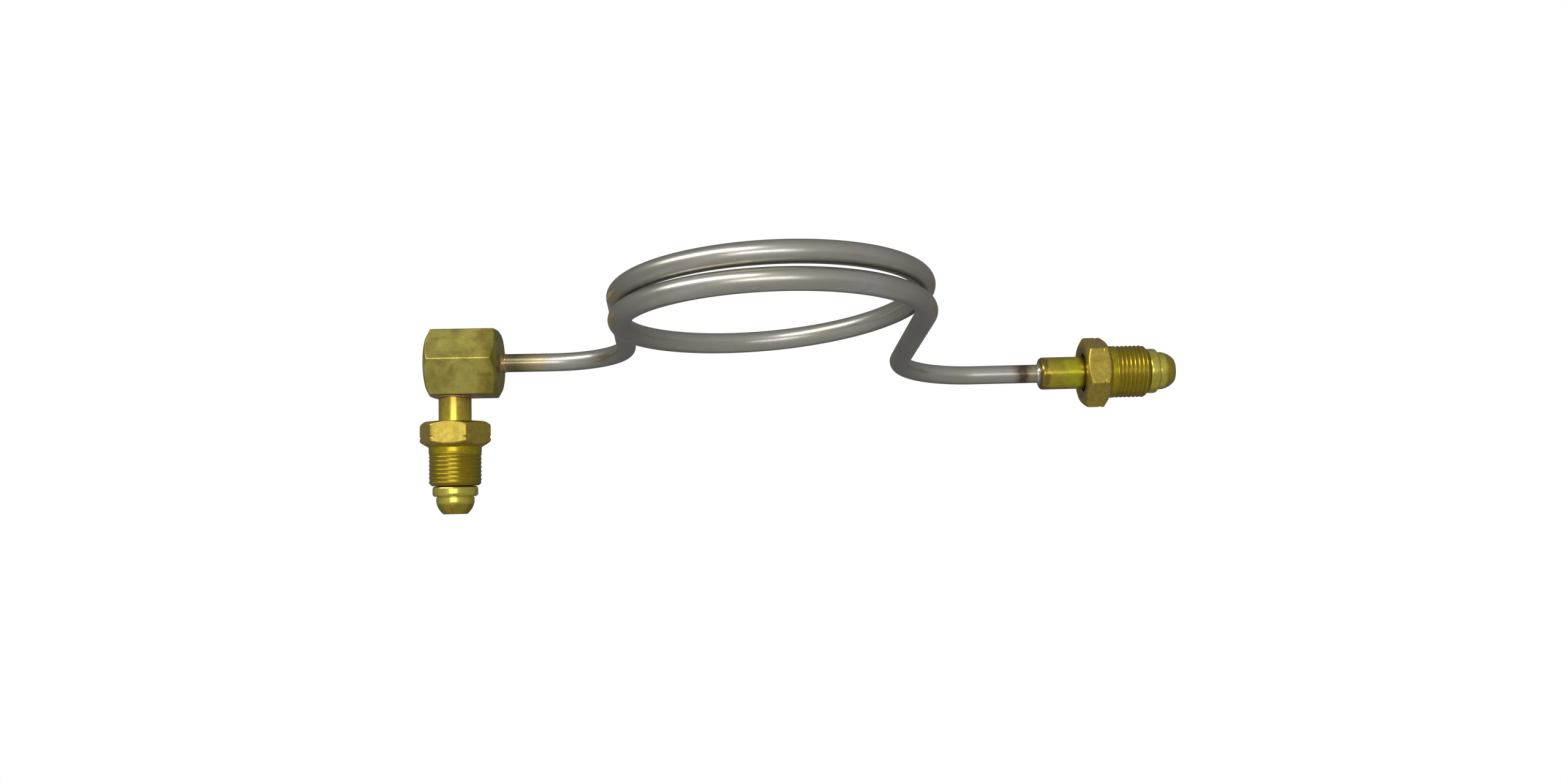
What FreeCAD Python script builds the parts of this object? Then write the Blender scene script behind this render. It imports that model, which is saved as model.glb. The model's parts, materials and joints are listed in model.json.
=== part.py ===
import FreeCAD, Part
import math
import os
from FreeCAD import Placement, Rotation, Vector

# A coiled pigtail for high-pressure gas: one stainless tube, wound into a loop of one and a half turns, with a
# brass elbow fitting on its left end and a straight brass fitting on its right end. Millimetres and degrees.
#
# Row frame: +Z up along the loop's axis, +X from the elbow end to the straight end, +Y from the loop's front
# to its legs. The origin is the seat of the elbow's nose: the centre of the shoulder its cylinder loads.
# A direction is an azimuth, counted from +X towards +Y, and a climb above the level.

# ---- tube ----
TUBE_OD = 7.94
TUBE_WALL = 1.24
LOOP_R = 54.7
LOOP_STEPS = 18                 # arcs in one and a half turns
LOOP_START = -90.0              # azimuth of the tube where the upper front turn begins
STEPS_PER_HALF = 6
CLIMB_UPPER_FRONT = -0.65       # climbs of the loop's three half turns
CLIMB_REAR = -2.0
CLIMB_LOWER_FRONT = -1.2
LEFT_LEG = (0.0, -2.2)          # azimuth and climb of each straight stretch
LEFT_SIDE = (-88.0, -1.4)
RIGHT_SIDE = (90.6, -0.6)
RIGHT_LEG = (-1.2, -2.1)
LEFT_LEG_LENGTH = 22.4          # from the elbow's end face to the left bend
LEFT_SIDE_LENGTH = 83.2
RIGHT_SIDE_LENGTH = 68.1
RIGHT_LEG_LENGTH = 28.8         # from the right bend to the straight nipple's end face
LEFT_BEND_R = 34.6
RIGHT_BEND_R = 35.4
SOCKET_DEPTH = 9.0              # of the tube in the elbow and in the straight nipple

# ---- brass bullet nose, the same on both nipples; heights count from the seat towards the tip ----
SHANK_R = 7.0
COLLAR_R = 9.65
COLLAR_LENGTH = 4.5
COLLAR_ROUND = 1.25
BULLET_R = 8.1
BULLET_LENGTH = 2.5
NECK_R = 7.75
NECK_LENGTH = 0.35
TIP_R = 5.1
TIP_HEIGHT = 7.6
TIP_BULGE = 0.5                 # how far the taper stands out from a straight cone
TIP_ROUND = 0.5
GAS_WAY_R = 2.4

# ---- loose nuts, the same on both nipples ----
THREAD_R = 11.24                # 0.885 inch thread, 14 per inch
THREAD_LENGTH = 16.6
THREAD_CHAMFER = 1.3
NUT_FLATS = 27.0
NUT_HEX_LENGTH = 11.1
NUT_BORE_R = 8.2
NUT_BORE_CHAMFER = 0.9
NUT_TOP_CHAMFER_R = 12.9        # where the 30 degree chamfers meet the end faces
CHAMFER_SLOPE = math.tan(math.radians(30.0))
MARK_R = 14.95                  # bottom of the V groove that marks a left-hand thread
MARK_HALF_WIDTH = 0.6
MARK_FROM_REAR = 6.9
NUT_GAP = 0.15                  # between the nut's end and the collar
ELBOW_NUT_TURN = 32.0           # of the hexagon about its axis
STRAIGHT_NUT_TURN = 29.0

# ---- elbow ----
BAR_FLATS = 28.6
BAR_END_R = 12.5
BAR_TO_TUBE_END = 19.9          # from the nipple's axis to each end of the bar
BAR_TO_BLIND_END = 11.4
BAR_TURN = -3.0                 # of the hexagon from square with the nipple
SEAT_BELOW_BAR_AXIS = 57.6
NIPPLE_SOCKET_DEPTH = 8.0
ELBOW_TILT = 6.3                # of the nipple about the leg, its foot towards the back

# ---- straight nipple ----
STRAIGHT_NIPPLE_LENGTH = 51.1   # from its rear end to the seat
STRAIGHT_END_ROUND = 1.6

# ---- braze ----
TUBE_FILLET = 1.0
NIPPLE_FILLET = 0.8

# ---- cutting ----
PAST = 1.0                      # how far a cutting solid runs past the face it leaves by


def direction(azimuth, climb):
    a = math.radians(azimuth)
    c = math.radians(climb)
    return Vector(math.cos(c) * math.cos(a), math.cos(c) * math.sin(a), math.sin(c))


class BentTube:
    """The centre line of a bent tube: straight runs and the arcs that join them."""

    def __init__(self, start, heading):
        self.start = start
        self.point = start
        self.first_heading = heading
        self.heading = heading
        self.edges = []

    def run(self, length):
        end = self.point + self.heading * length
        self.edges.append(Part.LineSegment(self.point, end).toShape())
        self.point = end

    def bend_to(self, heading, radius):
        turn = self.heading.getAngle(heading)
        axis = self.heading.cross(heading).normalize()
        inward = axis.cross(self.heading)
        centre = self.point + inward * radius
        spoke = self.point - centre
        middle = centre + Rotation(axis, math.degrees(turn / 2)).multVec(spoke)
        end = centre + Rotation(axis, math.degrees(turn)).multVec(spoke)
        self.edges.append(Part.Arc(self.point, middle, end).toShape())
        self.point = end
        self.heading = heading

    def length(self):
        return sum(edge.Length for edge in self.edges)

    def solid(self, radius):
        circle = Part.Circle(self.start, self.first_heading, radius).toShape()
        return Part.Wire(self.edges).makePipeShell([Part.Wire(circle)], True, False)


def turned(outline):
    """The solid turned about local Z from a closed outline of (radius, height) points."""
    points = [Vector(r, 0, z) for r, z in outline]
    face = Part.Face(Part.makePolygon(points + points[:1]))
    return face.revolve(Vector(0, 0, 0), Vector(0, 0, 1), 360)


def rod(radius, bottom, top):
    return Part.makeCylinder(radius, top - bottom, Vector(0, 0, bottom))


def hexagon_bar(flats, bottom, top, turn):
    corner_r = flats / 2 / math.cos(math.radians(30))
    corners = []
    for k in range(7):
        angle = math.radians(60 * k + 30 + turn)
        corners.append(Vector(corner_r * math.cos(angle), corner_r * math.sin(angle), bottom))
    return Part.Face(Part.makePolygon(corners)).extrude(Vector(0, 0, top - bottom))


def round_rim(solid, rim_r, height, radius):
    """Round the circular edge of that radius at that height."""
    rims = []
    for edge in solid.Edges:
        curve = edge.Curve
        if isinstance(curve, Part.Circle) and abs(curve.Radius - rim_r) < 1e-4:
            if abs(curve.Center.z - height) < 1e-4:
                rims.append(edge)
    return solid.makeFillet(radius, rims)


def local_frame(origin, z_axis, x_axis):
    """A placement whose local Z lies along z_axis and whose local X leans towards x_axis."""
    return Placement(origin, Rotation(x_axis, Vector(), z_axis, "ZXY"))


def bullet_nose():
    """Collar and bullet, turned about local Z, with the seat at height 0 and the tip above it."""
    collar = rod(COLLAR_R, -COLLAR_LENGTH, 0)
    collar = round_rim(collar, COLLAR_R, 0, COLLAR_ROUND)
    collar = round_rim(collar, COLLAR_R, -COLLAR_LENGTH, COLLAR_ROUND)
    neck = rod(NECK_R, 0, NECK_LENGTH)
    taper_start = Vector(BULLET_R, 0, BULLET_LENGTH)
    taper_end = Vector(TIP_R, 0, TIP_HEIGHT)
    slant = taper_end - taper_start
    outward = Vector(slant.z, 0, -slant.x).normalize()
    taper_middle = (taper_start + taper_end) / 2 + outward * TIP_BULGE
    base = Vector(BULLET_R, 0, NECK_LENGTH)
    base_axis = Vector(0, 0, NECK_LENGTH)
    tip_axis = Vector(0, 0, TIP_HEIGHT)
    outline = Part.Wire([
        Part.makeLine(base_axis, base),
        Part.makeLine(base, taper_start),
        Part.Arc(taper_start, taper_middle, taper_end).toShape(),
        Part.makeLine(taper_end, tip_axis),
        Part.makeLine(tip_axis, base_axis)])
    bullet = Part.Face(outline).revolve(Vector(0, 0, 0), Vector(0, 0, 1), 360)
    bullet = round_rim(bullet, TIP_R, TIP_HEIGHT, TIP_ROUND)
    return collar.fuse([neck, bullet])


def nipple(rear):
    """A bored nipple: its shank runs from the height of its rear end to the collar."""
    shank = rod(SHANK_R, rear, -COLLAR_LENGTH / 2)
    body = shank.fuse(bullet_nose()).removeSplitter()
    return body.cut(rod(GAS_WAY_R, rear - PAST, TIP_HEIGHT + PAST))


def straight_nipple():
    rear = -STRAIGHT_NIPPLE_LENGTH
    body = round_rim(nipple(rear), SHANK_R, rear, STRAIGHT_END_ROUND)
    return body.cut(rod(TUBE_OD / 2, rear - PAST, rear + SOCKET_DEPTH))


def nut(turn):
    """A loose nut on a nipple: hexagon at the rear, thread towards the nose, marked across its corners."""
    end = -COLLAR_LENGTH - NUT_GAP
    front = end - THREAD_LENGTH
    rear = front - NUT_HEX_LENGTH
    corner_r = NUT_FLATS / 2 / math.cos(math.radians(30))
    head = turned([
        (0, rear),
        (NUT_TOP_CHAMFER_R, rear),
        (corner_r, rear + (corner_r - NUT_TOP_CHAMFER_R) * CHAMFER_SLOPE),
        (corner_r, front - (corner_r - THREAD_R) * CHAMFER_SLOPE),
        (THREAD_R, front),
        (0, front)])
    head = head.common(hexagon_bar(NUT_FLATS, rear, front, turn))
    thread = turned([
        (0, front),
        (THREAD_R, front),
        (THREAD_R, end - THREAD_CHAMFER),
        (THREAD_R - THREAD_CHAMFER, end),
        (0, end)])
    mark_height = rear + MARK_FROM_REAR
    mark_slope = MARK_HALF_WIDTH / (corner_r - MARK_R)
    mark_mouth = MARK_HALF_WIDTH + PAST * mark_slope
    mark = turned([
        (MARK_R, mark_height),
        (corner_r + PAST, mark_height - mark_mouth),
        (corner_r + PAST, mark_height + mark_mouth)])
    bore = turned([
        (0, rear - PAST),
        (NUT_BORE_R + NUT_BORE_CHAMFER + PAST, rear - PAST),
        (NUT_BORE_R, rear + NUT_BORE_CHAMFER),
        (NUT_BORE_R, end + PAST),
        (0, end + PAST)])
    return head.fuse(thread).removeSplitter().cut(mark).cut(bore)


def elbow_body():
    """Hexagon bar along local Z, its tube end up; the nipple's axis is local X, through the origin."""
    corner_r = BAR_FLATS / 2 / math.cos(math.radians(30))
    setback = (corner_r - BAR_END_R) * CHAMFER_SLOPE
    tube_end = BAR_TO_TUBE_END
    blind_end = -BAR_TO_BLIND_END
    blank = turned([
        (0, blind_end),
        (BAR_END_R, blind_end),
        (corner_r, blind_end + setback),
        (corner_r, tube_end - setback),
        (BAR_END_R, tube_end),
        (0, tube_end)])
    body = blank.common(hexagon_bar(BAR_FLATS, blind_end, tube_end, BAR_TURN))
    tube_socket = rod(TUBE_OD / 2, tube_end - SOCKET_DEPTH, tube_end + PAST)
    gas_way = rod(GAS_WAY_R, 0, tube_end)
    floor = BAR_FLATS / 2 - NIPPLE_SOCKET_DEPTH
    across = Vector(1, 0, 0)
    nipple_socket = Part.makeCylinder(SHANK_R, BAR_FLATS, Vector(floor, 0, 0), across)
    cross_way = Part.makeCylinder(GAS_WAY_R, floor + GAS_WAY_R, Vector(-GAS_WAY_R, 0, 0), across)
    return body.cut([tube_socket, gas_way, nipple_socket, cross_way])


def fillet_ring(inner_r, leg, height):
    """A concave ring of braze that stands on a face at that height, around a round piece."""
    foot_in = Vector(inner_r, 0, height)
    foot_out = Vector(inner_r + leg, 0, height)
    top = Vector(inner_r, 0, height + leg)
    dip = leg * (1 - math.sqrt(0.5))
    middle = Vector(inner_r + dip, 0, height + dip)
    outline = Part.Wire([
        Part.makeLine(foot_in, foot_out),
        Part.Arc(foot_out, middle, top).toShape(),
        Part.makeLine(top, foot_in)])
    return Part.Face(outline).revolve(Vector(0, 0, 0), Vector(0, 0, 1), 360)


def placed(shape, placement):
    copy = shape.copy()
    copy.Placement = placement
    return copy


def elbow_nipple_braze(bar_in_nose_frame):
    """Braze around the nipple where it enters the bar; the bar's flat is not quite square with the nipple."""
    flat_height = BAR_FLATS / 2 - SEAT_BELOW_BAR_AXIS
    skirt_r = SHANK_R + NIPPLE_FILLET
    skirt = rod(skirt_r, flat_height - skirt_r, flat_height)
    skirt = skirt.cut(rod(SHANK_R, flat_height - skirt_r, flat_height))
    ring = skirt.fuse(fillet_ring(SHANK_R, NIPPLE_FILLET, flat_height)).removeSplitter()
    reach = 2 * skirt_r
    behind_flat = Part.makeBox(BAR_FLATS / 2, 2 * reach, 2 * reach, Vector(0, -reach, -reach))
    flat_turn = Placement(Vector(), Rotation(Vector(0, 0, 1), BAR_TURN))
    return ring.cut(placed(behind_flat, bar_in_nose_frame.multiply(flat_turn)))


def build():
    leg = direction(*LEFT_LEG)
    down = Vector(0, 0, -1)
    foot = (down - leg * down.dot(leg)).normalize()
    nose = Rotation(leg, ELBOW_TILT).multVec(foot)
    bar_axis_point = nose * -SEAT_BELOW_BAR_AXIS
    elbow_nose = local_frame(Vector(0, 0, 0), nose, leg)
    elbow_bar = local_frame(bar_axis_point, leg, nose)

    path = BentTube(bar_axis_point + leg * (BAR_TO_TUBE_END - SOCKET_DEPTH), leg)
    path.run(SOCKET_DEPTH + LEFT_LEG_LENGTH)
    path.bend_to(direction(*LEFT_SIDE), LEFT_BEND_R)
    path.run(LEFT_SIDE_LENGTH)
    wind_loop(path)
    path.run(RIGHT_SIDE_LENGTH)
    path.bend_to(direction(*RIGHT_LEG), RIGHT_BEND_R)
    path.run(RIGHT_LEG_LENGTH + SOCKET_DEPTH)
    outer = path.solid(TUBE_OD / 2)
    inner = path.solid(TUBE_OD / 2 - TUBE_WALL)
    section = math.pi * (TUBE_OD / 2) ** 2
    print("tube length %.1f, volume over section times length %.5f"
          % (path.length(), outer.Volume / (section * path.length())))

    rear_end = path.point - path.heading * SOCKET_DEPTH
    seat = rear_end + path.heading * STRAIGHT_NIPPLE_LENGTH
    straight_nose = local_frame(seat, path.heading, Vector(0, 0, 1))
    tube_end_frame = local_frame(rear_end, path.heading * -1, Vector(0, 0, 1))
    print("straight seat", seat, "axis", path.heading, "elbow axis", nose)

    nipple_rear = -SEAT_BELOW_BAR_AXIS + BAR_FLATS / 2 - NIPPLE_SOCKET_DEPTH
    bar_in_nose_frame = elbow_nose.inverse().multiply(elbow_bar)
    return {
        "coil_tube": outer.cut(inner),
        "elbow_body": placed(elbow_body(), elbow_bar),
        "elbow_nipple": placed(nipple(nipple_rear), elbow_nose),
        "elbow_nut": placed(nut(ELBOW_NUT_TURN), elbow_nose),
        "straight_nipple": placed(straight_nipple(), straight_nose),
        "straight_nut": placed(nut(STRAIGHT_NUT_TURN), straight_nose),
        "elbow_tube_braze": placed(fillet_ring(TUBE_OD / 2, TUBE_FILLET, BAR_TO_TUBE_END), elbow_bar),
        "elbow_nipple_braze": placed(elbow_nipple_braze(bar_in_nose_frame), elbow_nose),
        "straight_nipple_braze": placed(fillet_ring(TUBE_OD / 2, TUBE_FILLET, 0), tube_end_frame)}


def wind_loop(path):
    """One and a half turns: the upper front, the rear and the lower front, each at its own climb."""
    halves = [CLIMB_UPPER_FRONT, CLIMB_REAR, CLIMB_LOWER_FRONT]
    for step in range(1, LOOP_STEPS + 1):
        half, within = divmod(step, STEPS_PER_HALF)
        if step == LOOP_STEPS:
            path.bend_to(direction(*RIGHT_SIDE), LOOP_R)
            return
        climb = halves[half]
        if within == 0:
            climb = (halves[half - 1] + halves[half]) / 2
        path.bend_to(direction(LOOP_START + step * 180 / STEPS_PER_HALF, climb), LOOP_R)


os.makedirs("parts", exist_ok=True)
for name, shape in build().items():
    print("%-22s %s, %d solid, %.1f mm3" % (name, shape.isValid(), len(shape.Solids), shape.Volume))
    shape.exportStep("parts/%s.step" % name)
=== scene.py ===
import json
import math

import bmesh
import bpy
from mathutils import Matrix, Quaternion, Vector, noise


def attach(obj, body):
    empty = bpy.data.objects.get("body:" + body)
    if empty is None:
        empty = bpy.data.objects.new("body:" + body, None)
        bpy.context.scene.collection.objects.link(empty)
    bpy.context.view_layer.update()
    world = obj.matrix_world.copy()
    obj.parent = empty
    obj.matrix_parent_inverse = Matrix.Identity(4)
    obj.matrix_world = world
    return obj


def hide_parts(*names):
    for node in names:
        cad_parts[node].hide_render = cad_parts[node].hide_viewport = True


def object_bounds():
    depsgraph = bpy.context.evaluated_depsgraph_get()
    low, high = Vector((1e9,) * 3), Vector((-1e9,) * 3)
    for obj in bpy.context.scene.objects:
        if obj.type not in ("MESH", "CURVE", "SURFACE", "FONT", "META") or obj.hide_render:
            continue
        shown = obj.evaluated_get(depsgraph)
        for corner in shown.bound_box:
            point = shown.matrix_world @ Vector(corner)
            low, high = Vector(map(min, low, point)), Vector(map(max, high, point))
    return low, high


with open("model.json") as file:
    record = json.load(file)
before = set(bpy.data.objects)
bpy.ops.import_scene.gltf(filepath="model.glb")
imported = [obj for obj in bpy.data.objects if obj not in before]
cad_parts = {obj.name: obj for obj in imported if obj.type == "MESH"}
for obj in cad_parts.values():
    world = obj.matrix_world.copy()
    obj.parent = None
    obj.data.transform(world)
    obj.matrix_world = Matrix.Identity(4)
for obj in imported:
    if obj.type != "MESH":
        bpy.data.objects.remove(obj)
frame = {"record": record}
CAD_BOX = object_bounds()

# A coiled gas pigtail. Lengths are in metres and angles in degrees, unless turned into radians here.
# The row frame has +Z up, +X from the elbow end to the straight end and +Y from the loop's front to its
# legs. The origin is the seat of the elbow's nose.

MM = 0.001

# ---- tube: the bends of its centre line, as the CAD model has them ----
TUBE_R = 3.97 * MM
TUBE_BORE_R = 2.73 * MM
SOCKET_DEPTH = 9.0 * MM
LOOP_R = 54.7 * MM
LOOP_STEPS = 18
LOOP_START = -90.0
STEPS_PER_HALF = 6
LOOP_CLIMBS = (-0.65, -2.0, -1.2)       # upper front, rear and lower front half turns
LEFT_LEG = (0.0, -2.2)                  # (azimuth, climb) of each straight stretch
LEFT_SIDE = (-88.0, -1.4)
RIGHT_SIDE = (90.6, -0.6)
RIGHT_LEG = (-1.2, -2.1)
LEFT_LEG_LENGTH = 22.4 * MM
LEFT_SIDE_LENGTH = 83.2 * MM
RIGHT_SIDE_LENGTH = 68.1 * MM
RIGHT_LEG_LENGTH = 28.8 * MM
LEFT_BEND_R = 34.6 * MM
RIGHT_BEND_R = 35.4 * MM
TUBE_STEP = 1.6 * MM                    # between rings of the tube's mesh
TUBE_COLUMNS = 56
OUTLINE_STEP = 0.5 * MM                 # longest stretch of a turned outline
SHARP = 0.1 * MM                        # rounding of an edge that looks sharp

# ---- nipples; heights count from the seat towards the tip ----
SHANK_R = 7.0 * MM
COLLAR_R = 9.65 * MM
COLLAR_LENGTH = 4.5 * MM
NECK_R = 7.75 * MM
NECK_LENGTH = 0.35 * MM
BULLET_R = 8.1 * MM
BULLET_LENGTH = 2.5 * MM
TIP_R = 5.1 * MM
TIP_HEIGHT = 7.6 * MM
TIP_BULGE = 0.5 * MM
GAS_WAY_R = 2.4 * MM
STRAIGHT_REAR = -51.1 * MM
STRAIGHT_END_ROUND = 1.6 * MM
COLLAR_ROUND_REAR = 1.2 * MM
COLLAR_ROUND = 1.25 * MM
SHANK_ROUND = 0.3 * MM
FINE_ROUND = 0.08 * MM                  # of the neck's corners and the gas way's mouth
BULLET_FOOT_ROUND = 0.15 * MM
BULLET_ROUND = 1.0 * MM
TIP_ROUND = 0.5 * MM
GAS_WAY_CHAMFER = 0.2 * MM
WALL_MARGIN = 1.0 * MM                  # a point further inside the outer face than this is hidden bore
NIPPLE_COLUMNS = 144
BAR_TO_SEAT = 57.6 * MM
NIPPLE_SOCKET_DEPTH = 8.0 * MM

# ---- a small dent in the elbow's nose ----
NICK_ANGLE = math.radians(96.0)
NICK_SLANT = math.radians(-6.0)
NICK_TOP = 3.2 * MM
NICK_DEPTH = 0.3 * MM
NICK_HALF_WIDTH = 0.13 * MM
NICK_FADE = 3                           # it reaches its depth a third of the way down
NICK_COLUMN_STEP = 0.012                # radians between the extra columns of mesh across it
NICK_COLUMNS = 9                        # on each side of its middle

# ---- nuts ----
THREAD_R = 11.24 * MM
THREAD_LENGTH = 16.6 * MM
THREAD_PITCH = 25.4 / 14 * MM
THREAD_DEPTH = 0.32 * MM
PLAIN_BAND = 1.9 * MM                   # of full diameter between the hexagon and the thread's run-out
THREAD_CHAMFER = 1.3 * MM
NUT_FLATS = 27.0 * MM
NUT_HEX_LENGTH = 11.1 * MM
NUT_BORE_R = 8.2 * MM
NUT_BORE_CHAMFER = 0.9 * MM
NUT_TOP_CHAMFER_R = 12.9 * MM
CHAMFER_SLOPE = math.tan(math.radians(30.0))
MARK_R = 14.95 * MM
MARK_HALF_WIDTH = 0.6 * MM
MARK_FROM_REAR = 6.9 * MM
NUT_GAP = 0.15 * MM
ELBOW_NUT_TURN = 32.0
STRAIGHT_NUT_TURN = 29.0
NUT_RIM_ROUND = 1.1 * MM
NUT_CORNER_ROUND = 1.5 * MM
NUT_EDGE_ROUND = 0.6 * MM               # of the hexagon's long edges
NUT_FACE_BLEND = 0.6 * MM               # of the hexagon into its turned corners
NUT_BORE_MOUTH = 0.35 * MM
NUT_BORE_ROUND = 0.15 * MM
NUT_REAR_ROUND = 0.2 * MM
NUT_FRONT_ROUND = 0.4 * MM
MARK_ROUND = 0.12 * MM
THREAD_FOOT_ROUND = 0.5 * MM
THREAD_END_ROUND = 1.2 * MM
THREAD_LIP_ROUND = 0.25 * MM
GROOVE_BLEND = 0.25 * MM                # between the groove's flanks and its root
GROOVE_HALF_WIDTH = THREAD_PITCH * 7 / 16
THREAD_STEP = 0.13 * MM                 # longest stretch of the outline on the thread
HEXAGON_COLUMNS = 44                    # per side
CORNER_CROWDING = 0.7                   # how far those columns gather at the corners, 0 to 1

# ---- elbow's hexagon bar ----
BAR_FLATS = 28.6 * MM
BAR_END_R = 12.5 * MM
BAR_TO_TUBE_END = 19.9 * MM
BAR_TO_BLIND_END = 11.4 * MM
BAR_TURN = -3.0
BAR_CORNER_ROUND = 1.2 * MM
BAR_EDGE_ROUND = 0.35 * MM
BAR_FACE_BLEND = 0.3 * MM               # of the hexagon into the turned ends
BAR_STEP = 0.6 * MM                     # longest stretch of its outline
BAR_CAP_R = 0.8 * MM                    # of the flat cap that closes its mesh at the blind end
DRILL_CORE_R = 0.5 * MM                 # of the caps that close the drill's mesh
DRILL_COLUMNS = 96

# ---- braze ----
TUBE_FILLET = 1.0 * MM
NIPPLE_FILLET = 0.8 * MM
ELBOW_TUBE_LEAD = 2.6 * MM              # how far each joint's thin lead reaches along the piece
ELBOW_NIPPLE_LEAD = 1.0 * MM
STRAIGHT_TUBE_LEAD = 1.3 * MM
BRAZE_FILM = 0.1 * MM
BRAZE_INSIDE = 0.25 * MM                # how far the braze reaches into the piece it surrounds
BRAZE_THINNING = 0.15 * MM              # length over which the film's edge thins
BRAZE_ARC_STEPS = 12
BRAZE_STEP = 0.2 * MM                   # longest stretch of its outline
BRAZE_COLUMNS = 120
BRAZE_SWELL = 0.22                      # unevenness of its thickness and of its reach, as shares
BRAZE_REACH = 0.14

# ---- camera ----
CAMERA_PLACE = Vector((0.114, -0.595, -0.0742))
CAMERA_AZIMUTH = 87.0
CAMERA_PITCH = 10.7
CAMERA_ROLL = -3.83
CAMERA_LENS = 31.38                     # on a 36 mm sensor

# ---- colours ----
STEEL_COOL = (0.56, 0.55, 0.54)
# the warm steel colour below is a painted warm reflection of the surroundings, not a tint of the metal
STEEL_WARM_PAINTED_REFLECTION = (0.52, 0.49, 0.41)
STEEL_DULL = (0.42, 0.40, 0.36)
NUT_DARK = (0.44, 0.325, 0.045)
NUT_LIGHT = (0.62, 0.48, 0.10)
NUT_STAIN = (0.33, 0.24, 0.04)
THREAD_GOLD = (0.95, 0.98, 0.38)
# the thread root colour below is painted shade in the thread's grooves
THREAD_ROOT_SHADE = (0.32, 0.23, 0.025)
TURNED_DARK = (0.60, 0.52, 0.085)
TURNED_LIGHT = (0.75, 0.66, 0.125)
TAPER_SHADE = (0.62, 0.56, 0.42)
BAR_CLOUDS = [
    (0.0, (0.34, 0.26, 0.07)), (0.35, (0.47, 0.42, 0.10)), (0.65, (0.58, 0.53, 0.13)),
    (1.0, (0.64, 0.55, 0.16))]
BAR_SPOT = (0.24, 0.19, 0.12)
BRAZE_DARK = (0.28, 0.21, 0.10)
BRAZE_LIGHT = (0.52, 0.42, 0.20)
SILVER_DARK = (0.36, 0.28, 0.22)
SILVER_LIGHT = (0.86, 0.80, 0.70)
FLOOR_LOW = (0.62, 0.62, 0.61)
FLOOR_HIGH = (0.66, 0.66, 0.65)

# ---- heat tints: (millimetres from the joint, factor on the colour) ----
LEFT_HEAT = [
    (0, (0.75, 0.52, 0.28)), (3, (0.50, 0.41, 0.23)), (7, (0.36, 0.32, 0.21)),
    (11, (0.66, 0.58, 0.36)), (16, (1.0, 0.88, 0.62)), (22, (1.0, 0.98, 0.94)),
    (28, (1.0, 1.0, 1.0))]
RIGHT_HEAT = [
    (0, (0.80, 0.74, 0.58)), (3, (0.86, 0.82, 0.60)), (4.4, (0.55, 0.44, 0.28)),
    (5.6, (0.27, 0.19, 0.15)), (8.5, (0.30, 0.23, 0.19)), (10.5, (0.66, 0.58, 0.48)),
    (13, (0.97, 0.95, 0.90)), (18, (1.0, 1.0, 1.0))]
BAR_HEAT = [
    (0, (0.72, 0.70, 0.58)), (3, (0.74, 0.67, 0.57)), (6, (0.86, 0.77, 0.66)),
    (10, (1.0, 0.96, 0.90)), (20, (1.0, 1.0, 1.0))]
ELBOW_HEAT = [
    (0, (0.45, 0.36, 0.42)), (8, (0.60, 0.48, 0.50)), (12, (0.80, 0.68, 0.62)),
    (18, (0.92, 0.84, 0.70)), (30, (1.0, 1.0, 1.0))]
STRAIGHT_HEAT = [
    (0, (0.42, 0.36, 0.48)), (2, (0.50, 0.42, 0.48)), (3.5, (0.85, 0.76, 0.60)),
    (9, (0.72, 0.70, 0.44)), (12, (0.86, 0.92, 0.34)), (16, (0.90, 0.94, 0.36)),
    (20, (0.52, 0.46, 0.30)), (30, (0.8, 0.7, 0.5)), (50, (1.0, 1.0, 1.0))]

# ---- room ----
# each softbox: name, azimuth, elevation, distance, width, height, power, colour
SOFTBOXES = [
    ("key", -136.0, 34.0, 1.5, 1.7, 0.35, 12.0, (1.0, 0.98, 0.95)),
    ("front", -97.0, -8.0, 1.3, 0.9, 0.3, 4.0, (1.0, 0.99, 0.96))]
ROOM_SHADES = [
    (0.0, (0.13, 0.13, 0.13)), (0.45, (0.33, 0.33, 0.325)), (0.75, (0.44, 0.44, 0.43)),
    (1.0, (0.58, 0.58, 0.57))]
FLOOR_RADIUS = 0.68
FLOOR_REAR = 0.10
FLOOR_DROP = 0.17
FLOOR_CORNERS = 128


# ======== directions and frames ========

def direction(azimuth, climb):
    """A unit vector from the angle around Z and the angle above the horizontal."""
    a = math.radians(azimuth)
    c = math.radians(climb)
    return Vector((math.cos(c) * math.cos(a), math.cos(c) * math.sin(a), math.sin(c)))


def local_frame(origin, z_axis, x_axis):
    """A matrix whose local Z lies along z_axis and whose local X leans towards x_axis."""
    z = z_axis.normalized()
    y = z.cross(x_axis).normalized()
    x = y.cross(z)
    turn = Matrix((x, y, z)).transposed().to_4x4()
    return Matrix.Translation(origin) @ turn


def mount(name):
    """Place and axis of one of the record's mounts."""
    for entry in frame["record"]["mounts"]:
        if entry["name"] == name:
            return Vector(entry["pos_m"]), Vector(entry["axis"]).normalized()


# ======== meshes ========

def rounded_outline(corners, arc_steps=5):
    """Points along (radius, height, rounding) corners, with the corners rounded."""
    points = []
    for k, (r, z, rounding) in enumerate(corners):
        here = Vector((r, z))
        if rounding == 0:
            points.append(here)
            continue
        back = (Vector(corners[k - 1][:2]) - here).normalized()
        ahead = (Vector(corners[(k + 1) % len(corners)][:2]) - here).normalized()
        half = back.angle(ahead) / 2
        centre = here + (back + ahead).normalized() * rounding / math.sin(half)
        first = here + back * rounding / math.tan(half) - centre
        last = here + ahead * rounding / math.tan(half) - centre
        for j in range(arc_steps + 1):
            points.append(centre + first.slerp(last, j / arc_steps) * rounding)
    return points


def divided(points, step, closed):
    """The outline with every stretch longer than step divided evenly."""
    dense = []
    count = len(points) if closed else len(points) - 1
    for k in range(count):
        here = points[k]
        there = points[(k + 1) % len(points)]
        parts = max(1, math.ceil((there - here).length / step))
        dense.extend(here.lerp(there, j / parts) for j in range(parts))
    if not closed:
        dense.append(points[-1])
    return dense


def pairs(points):
    """Each point with the next, round the loop."""
    return zip(points, points[1:] + points[:1])


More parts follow.
